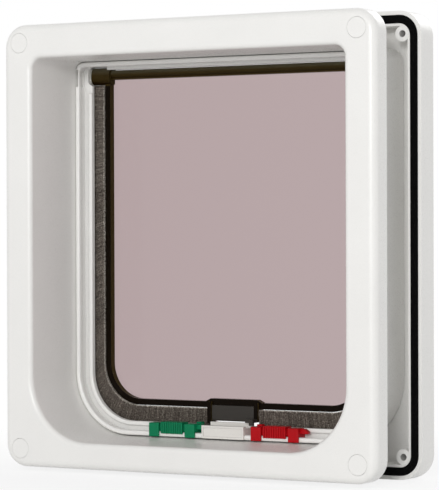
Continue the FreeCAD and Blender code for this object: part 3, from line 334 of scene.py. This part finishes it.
def groundSteel(name, values):
    # drawn steel wire, ground to size: bright grey, with fine rings round the pin
    material, tree, points = newMaterial(name)
    rings = addNode(tree, "ShaderNodeTexWave",
                    {"bands_direction": "X", "Scale": 1 / (values["ring"] * millimetre),
                     "Distortion": 1.2, "Detail": 2.0},
                    {"Vector": points})
    bump = addNode(tree, "ShaderNodeBump",
                   {"Strength": 0.2, "Distance": values["ringDepth"] * millimetre},
                   {"Height": rings.outputs["Fac"]})
    smooth, dull = values["roughness"]
    gloss = addNode(tree, "ShaderNodeMapRange", {"To Min": smooth, "To Max": dull},
                    {"Value": rings.outputs["Fac"]})
    shader = addNode(tree, "ShaderNodeBsdfPrincipled",
                     {"Base Color": hexColour(values["colour"]), "Metallic": 1.0},
                     {"Roughness": gloss.outputs[0], "Normal": bump.outputs[0]})
    addNode(tree, "ShaderNodeOutputMaterial", {}, {"Surface": shader.outputs[0]})
    return material


def sinteredFerrite(name, values):
    # pressed and sintered ferrite: charcoal grey, dull, with specks of coarser grain
    material, tree, points = newMaterial(name)
    grain = addNode(tree, "ShaderNodeTexVoronoi", {"Scale": 1 / (values["grain"] * millimetre)},
                    {"Vector": points})
    tone = addNode(tree, "ShaderNodeValToRGB",
                   {"stops": [(0.1, values["colour"]), (0.8, values["speck"])]},
                   {"Fac": grain.outputs["Distance"]})
    bump = addNode(tree, "ShaderNodeBump",
                   {"Strength": 0.5, "Distance": values["grainDepth"] * millimetre},
                   {"Height": grain.outputs["Distance"]})
    shader = addNode(tree, "ShaderNodeBsdfPrincipled", {"Roughness": values["roughness"]},
                     {"Base Color": tone.outputs["Color"], "Normal": bump.outputs[0]})
    addNode(tree, "ShaderNodeOutputMaterial", {}, {"Surface": shader.outputs[0]})
    return material


def blackFoam(name, values):
    # closed-cell foam strip, cut from sheet: soft black with a skin of fine open cells
    material, tree, points = newMaterial(name)
    cells = addNode(tree, "ShaderNodeTexVoronoi", {"Scale": 1 / (values["cell"] * millimetre)},
                    {"Vector": points})
    tone = addNode(tree, "ShaderNodeValToRGB",
                   {"stops": [(0.05, values["hollow"]), (0.75, values["colour"])]},
                   {"Fac": cells.outputs["Distance"]})
    bump = addNode(tree, "ShaderNodeBump",
                   {"Strength": 0.8, "Distance": values["cellDepth"] * millimetre},
                   {"Height": cells.outputs["Distance"]})
    shader = addNode(tree, "ShaderNodeBsdfPrincipled",
                     {"Roughness": values["roughness"], "Specular IOR Level": values["specular"]},
                     {"Base Color": tone.outputs["Color"], "Normal": bump.outputs[0]})
    addNode(tree, "ShaderNodeOutputMaterial", {}, {"Surface": shader.outputs[0]})
    return material


def nylonBristle(name, values):
    # fine crimped nylon pile: grey-brown fibres, each a little lighter or darker than the next
    material, tree, points = newMaterial(name)
    clump = addNode(tree, "ShaderNodeTexNoise",
                    {"Scale": 1 / (values["clump"] * millimetre), "Detail": 4.0},
                    {"Vector": points})
    patches = addNode(tree, "ShaderNodeMapRange",
                      {"From Min": 0.35, "From Max": 0.65, "To Max": values["clumpShow"]},
                      {"Value": clump.outputs["Fac"]})
    strand = addNode(tree, "ShaderNodeAttribute", {"attribute_name": "strandTone"})
    both = addNode(tree, "ShaderNodeMath", {"operation": "ADD"},
                   {0: strand.outputs["Fac"], 1: patches.outputs[0]})
    # the last stop is the painted highlight of the cut tips
    tone = addNode(tree, "ShaderNodeValToRGB",
                   {"stops": [(0.1, values["dark"]), (0.4, values["middle"]),
                              (0.75, values["light"]), (1.0, values["cut"])]},
                   {"Fac": both.outputs[0]})
    shader = addNode(tree, "ShaderNodeBsdfPrincipled", {"Roughness": values["roughness"]},
                     {"Base Color": tone.outputs["Color"]})
    addNode(tree, "ShaderNodeOutputMaterial", {}, {"Surface": shader.outputs[0]})
    return material


finishes = {
    # the two white finishes are painted darker in their nooks
    "whiteAbs": mouldedPlastic("whiteAbsMoulded", {  # a warm, even satin white
        "colour": "#F9F8F5", "shade": "#F6F5F2", "roughness": 0.3, "grainDepth": 0.025,
        "nookPaintedShade": 0.28}),
    "keeperAbs": mouldedPlastic("offWhiteAbsMoulded", {  # another batch, a shade creamier
        "colour": "#ECE9E4", "shade": "#E8E5E0", "roughness": 0.3, "grainDepth": 0.025,
        "nookPaintedShade": 0.28}),
    "whiteNylon": mouldedPlastic("naturalNylonMoulded", {  # without pigment: milky and duller
        "colour": "#E9E7DF", "shade": "#E4E2D9", "roughness": 0.42, "grainDepth": 0.02}),
    "stripPvc": mouldedPlastic("greyPvcExtruded", {  # drawn through a die: plain grey, dull
        "colour": "#C9C8C4", "shade": "#C2C1BD", "roughness": 0.45, "grainDepth": 0.02}),
    "darkHousing": mouldedPlastic("charcoalAbsMoulded", {  # brownish black with a soft sheen
        "colour": "#34302B", "shade": "#2E2A26", "roughness": 0.34, "grainDepth": 0.03,
        "specular": 0.25}),
    "greenAbs": mouldedPlastic("greenAbsMoulded", {  # deep colour all through, little gloss
        "colour": "#088459", "shade": "#067A51", "roughness": 0.33, "grainDepth": 0.03,
        "specular": 0.16}),
    "redAbs": mouldedPlastic("redAbsMoulded", {  # the same in red
        "colour": "#BE0614", "shade": "#B20511", "roughness": 0.33, "grainDepth": 0.03,
        "specular": 0.16}),
    "tintedFlap": tintedAcrylic("smokedAcrylicMoulded", {
        "clearIor": 1.25,  # acrylic has 1.49; lower here, as the panel shows hardly a reflection
        "roughness": (0.015, 0.035), "haze": 60,  # millimetres
        "density": 500.0,  # per metre, which is 1 over the 2 mm panel
        "passes": (0.312, 0.107, 0.119, 1.0),  # so 0.5 of the red and 0.41 of the rest get through
        "thickIor": 1.49, "thickRoughness": 0.14, "thickSpecular": 0.03,
        # painted light: the flank colour is a painted glow, the hinge top a painted reflection,
        # the hinge below painted shade
        "thickColour": "#140E08", "flankPaintedGlow": "#42361C",
        "hingeTopPaintedReflection": "#6A6450", "hingeFront": "#3E3218", "hingeBelowPaintedShade": "#241806",
        "hingeHeight": 9.8,  # millimetres from the flap's top to the foot of its hinge
        "hingeBlend": 1.0,
        "panelFront": 0.02408,  # metres, the panel's front face
        "panelBlend": 0.06}),  # millimetres
    "steelPin": groundSteel("steelWireGround", {
        "colour": "#C8C9CA", "roughness": (0.22, 0.34), "ring": 0.5, "ringDepth": 0.01}),
    "ferrite": sinteredFerrite("ferriteSintered", {
        "colour": "#3A3A3C", "speck": "#555558", "roughness": 0.62, "grain": 0.4,
        "grainDepth": 0.03}),
    "foam": blackFoam("blackFoamStrip", {
        "colour": "#0D0D0D", "hollow": "#010101", "roughness": 0.92, "specular": 0.06,
        "cell": 0.9, "cellDepth": 0.2}),
    "bristle": nylonBristle("brushNylonPile", {
        "dark": "#3A322B", "middle": "#6A6159", "light": "#9A9187", "cut": "#E9E4DA",
        "roughness": 0.7, "clump": 0.8, "clumpShow": 0.5}),
}
print("materials done")

finishOf = {
    "interior_frame": "whiteAbs",
    "exterior_frame": "whiteAbs",
    "screw_cap_top_left": "whiteAbs",
    "screw_cap_top_right": "whiteAbs",
    "screw_cap_bottom_left": "whiteAbs",
    "screw_cap_bottom_right": "whiteAbs",
    "keeper_block": "keeperAbs",
    "weather_seal": "foam",
    "brush_pile_left": "bristle",
    "brush_pile_right": "bristle",
    "brush_backing_left": "stripPvc",
    "brush_backing_right": "stripPvc",
    "pivot_clip_left": "whiteNylon",
    "pivot_clip_right": "whiteNylon",
    "pivot_pin_left": "steelPin",
    "pivot_pin_right": "steelPin",
    "keeper_magnet": "ferrite",
    "flap_magnet": "ferrite",
    "magnet_housing": "darkHousing",
    "flap": "tintedFlap",
    "green_catch": "greenAbs",
    "red_catch": "redAbs",
}

brush = {
    # lengths in millimetres
    "sideReach": 8.05,  # from root to tip, down the side
    "sillReach": 11.25,  # and along the sill
    "rootCorner": 30.15,
    "tipCorner": 24.4,
    "coreSteps": 260,  # along the pile
    "coreRows": 4,  # from root to tip
    "coreFront": 0.9,  # the core lies this far inside the pile's front
    "coreBack": 0.25,
    "coreShare": 0.93,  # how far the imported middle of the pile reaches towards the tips
    "coreRagged": 0.05,
    "coreRough": 0.3,
    "corePaintedShade": 0.1,  # painted shade: the core is painted darker than the strands in front of it
    "strands": 9000,
    "strandSides": 3,
    "strandWidth": 0.34,  # a real strand is near 0.1 mm, drawn thicker so that it shows
    "strandTaper": (1.0, 0.9, 0.55),
    "ends": (0.001, 0.999),  # no strand stands right at the pile's ends
    "lean": 0.0022,  # share of the pile's length by which a tip strays along it
    "stray": 0.35,  # and in depth
    "crowding": 1.6,  # above 1, more strands stand near the front than near the back
    "hiddenRoot": 0.45,  # up to this share of a strand is left out inside the core
    "trim": (0.985, 1.01),  # the tips are cut nearly level
    "bendAt": 0.93,
    "bend": 0.22,
    "bodyTone": 0.4,
    "toneCurve": 1.4,  # above 1, more strands are dark than light
    "tipPaintedLight": 0.6,  # painted highlight: the cut ends are painted lighter than the strands
    "seed": 11,
}


def pileLine(box, sign, values, share):
    # root and tip of the pile, share of the way down the side, round the corner and along the sill
    low, high = box
    sideX, endX = (high.x, low.x) if sign > 0 else (-low.x, -high.x)
    reachX = values["sideReach"] * millimetre
    reachZ = values["sillReach"] * millimetre
    rootRadius = values["rootCorner"] * millimetre
    tipRadius = values["tipCorner"] * millimetre
    down = high.z - (low.z + rootRadius)
    bent = rootRadius * math.pi / 2
    along = sideX - rootRadius - endX
    place = share * (down + bent + along)
    points = []
    for x, z, radius in ((sideX, low.z, rootRadius), (sideX - reachX, low.z + reachZ, tipRadius)):
        if place < down:
            point = (x, high.z + (z + radius - high.z) * place / down)
        elif place < down + bent:
            turn = (place - down) / rootRadius
            point = (x - radius + radius * math.cos(turn), z + radius - radius * math.sin(turn))
        else:
            point = (x - radius + (endX - x + radius) * (place - down - bent) / along, z)
        points.append((sign * point[0], point[1]))
    return points


def packedCore(box, sign, values, chance):
    # the closed middle of the pile, with a rough front and a ragged edge
    low, high = box
    steps, rows = values["coreSteps"], values["coreRows"]
    ragged, rough = values["coreRagged"], values["coreRough"]
    front = low.y + values["coreFront"] * millimetre
    back = high.y - values["coreBack"] * millimetre
    vertices, faces, tones = [], [], []
    for i in range(steps + 1):
        (rootX, rootZ), (tipX, tipZ) = pileLine(box, sign, values, i / steps)
        for face in (front, back):
            for j in range(rows + 1):
                share = values["coreShare"] * j / rows
                if j == rows:
                    share += chance.uniform(-ragged, ragged)
                depth = face + (chance.uniform(-rough, rough) * millimetre if face == front else 0)
                x = rootX + (tipX - rootX) * share
                z = rootZ + (tipZ - rootZ) * share
                vertices.append((x, depth, z))
                # painted shade: the core's tones stay at the dark end of the ramp
                tones.append(chance.uniform(0.0, values["corePaintedShade"]))
    ring = 2 * (rows + 1)
    around = list(range(rows + 1)) + list(range(ring - 1, rows, -1))
    for i in range(steps):
        for j in range(ring):
            a, b = around[j], around[(j + 1) % ring]
            faces.append((i * ring + a, i * ring + b, (i + 1) * ring + b, (i + 1) * ring + a))
    faces.append(tuple(around[::-1]))
    faces.append(tuple(steps * ring + k for k in around))
    return vertices, faces, tones


def looseStrand(box, sign, values, chance):
    # points of three rings, at the start, the bend and the cut tip, and the strand's tone
    low, high = box
    half = values["strandWidth"] * millimetre / 2
    share = chance.uniform(*values["ends"])
    tipShare = min(max(share + chance.gauss(0, values["lean"]), 0.0), 1.0)
    (rootX, rootZ), (tipX, tipZ) = (
        pileLine(box, sign, values, share)[0], pileLine(box, sign, values, tipShare)[1])
    crowded = chance.random() ** values["crowding"]
    depth = low.y + half + crowded * (high.y - low.y - 2 * half)
    tipDepth = depth + chance.gauss(0, values["stray"]) * millimetre
    tipDepth = min(max(tipDepth, low.y + half), high.y - half)
    root = Vector((rootX, depth, rootZ))
    tip = Vector((tipX, tipDepth, tipZ))
    start = root.lerp(tip, chance.uniform(0.0, values["hiddenRoot"]))
    tip = root.lerp(tip, chance.uniform(*values["trim"]))
    bow = Vector((chance.gauss(0, values["bend"]), 0, chance.gauss(0, values["bend"])))
    bend = start.lerp(tip, values["bendAt"]) + bow * millimetre
    inwards = Vector((0, 1, 0))
    across = (tip - start).cross(inwards).normalized()
    points = []
    for centre, size in zip((start, bend, tip), values["strandTaper"]):
        for turn in range(values["strandSides"]):
            angle = turn * 2 * math.pi / values["strandSides"]
            offset = across * math.cos(angle) + inwards * math.sin(angle)
            points.append(tuple(centre + offset * half * size))
    return points, values["bodyTone"] * chance.random() ** values["toneCurve"]


def brushPile(node, sign, values):
    # a packed core with loose strands standing out of it, all within the brush's own band
    box = [Vector(corner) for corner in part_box(node)]
    chance = random.Random(values["seed"] + sign)
    vertices, faces, tones = packedCore(box, sign, values, chance)
    sides = values["strandSides"]
    for _ in range(values["strands"]):
        first = len(vertices)
        points, body = looseStrand(box, sign, values, chance)
        vertices.extend(points)
        tones.extend([body] * 2 * sides + [body + values["tipPaintedLight"]] * sides)
        for ring in (first, first + sides):
            for turn in range(sides):
                following = (turn + 1) % sides
                faces.append((ring + turn, ring + following,
                              ring + sides + following, ring + sides + turn))
        faces.append(tuple(range(first + 2 * sides, first + 3 * sides)))
    pile = addMesh(node + "_strands", vertices, faces, finishes["bristle"])
    tone = pile.data.attributes.new("strandTone", "FLOAT", "POINT")
    tone.data.foreach_set("value", tones)
    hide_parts(node)
    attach(pile, "exterior")


for node, sign in (("brush_pile_left", -1), ("brush_pile_right", 1)):
    brushPile(node, sign, brush)
print("brushes done")

seal = {
    # lengths in millimetres
    "width": 4.5,
    "outerCorner": 11.25,
    "cornerSteps": 8,  # in a quarter turn
    "step": 2.0,  # along the straight runs
    "crown": 0.5,  # how far the strip's middle bulges past its edges
    "crownSteps": 8,  # across the strip
    "crownFlat": 0.8,  # below 1, the crown is flatter than a half round
    "edgeDrop": 1.1,  # the edges lie this many crowns behind the front
    "uneven": 0.07,
    "seed": 5,
}


def sealPath(box, half, values):
    # points round the middle of the strip, each with its outward direction
    low, high = box
    radius = values["outerCorner"] * millimetre - half
    middleZ, reachZ = (low.z + high.z) / 2, (high.z - low.z) / 2
    corners = []
    for signX, signZ, start in ((1, 1, 0), (-1, 1, 90), (-1, -1, 180), (1, -1, 270)):
        centre = (signX * (high.x - half - radius), middleZ + signZ * (reachZ - half - radius))
        for k in range(values["cornerSteps"] + 1):
            turn = math.radians(start + 90 * k / values["cornerSteps"])
            corners.append((centre, (math.cos(turn), math.sin(turn))))
    path = []
    for i, (centre, out) in enumerate(corners):
        nextCentre, nextOut = corners[(i + 1) % len(corners)]
        here = (centre[0] + out[0] * radius, centre[1] + out[1] * radius)
        path.append((here, out))
        if nextCentre != centre:
            there = (nextCentre[0] + nextOut[0] * radius, nextCentre[1] + nextOut[1] * radius)
            count = max(1, int(math.dist(here, there) / (values["step"] * millimetre)))
            for k in range(1, count):
                x = here[0] + (there[0] - here[0]) * k / count
                z = here[1] + (there[1] - here[1]) * k / count
                path.append(((x, z), out))
    return path


def foamSeal(node, values):
    # soft strip laid in its channel: flat at the back, its face slightly crowned and uneven
    low, high = box = [Vector(corner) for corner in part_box(node)]
    chance = random.Random(values["seed"])
    half = values["width"] * millimetre / 2
    path = sealPath(box, half, values)
    crown = values["crown"] * millimetre
    edge = low.y + crown * values["edgeDrop"]
    section = [(1.0, high.y), (1.0, edge)]
    for k in range(1, values["crownSteps"]):
        turn = math.pi * k / values["crownSteps"]
        bulge = crown * math.sin(turn) ** values["crownFlat"]
        section.append((math.cos(turn), low.y + crown - bulge))
    section += [(-1.0, edge), (-1.0, high.y)]
    vertices, faces = [], []
    for (x, z), out in path:
        for across, depth in section:
            sink = chance.uniform(0, values["uneven"]) * millimetre if depth < high.y else 0
            vertices.append((x + out[0] * half * across, depth + sink, z + out[1] * half * across))
    count = len(section)
    for i in range(len(path)):
        following = (i + 1) % len(path)
        for j in range(count):
            k = (j + 1) % count
            faces.append((i * count + j, i * count + k,
                          following * count + k, following * count + j))
    strip = addMesh(node + "_foam", vertices, faces, finishes["foam"])
    strip.data.polygons.foreach_set("use_smooth", [True] * len(faces))
    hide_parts(node)
    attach(strip, "exterior")


foamSeal("weather_seal", seal)
print("seal done")

for node, finish in finishOf.items():
    target = nodes[node]
    if not target.material_slots:
        target.data.materials.append(finishes[finish])
    for place in target.material_slots:
        place.material = finishes[finish]
print("finishes done")
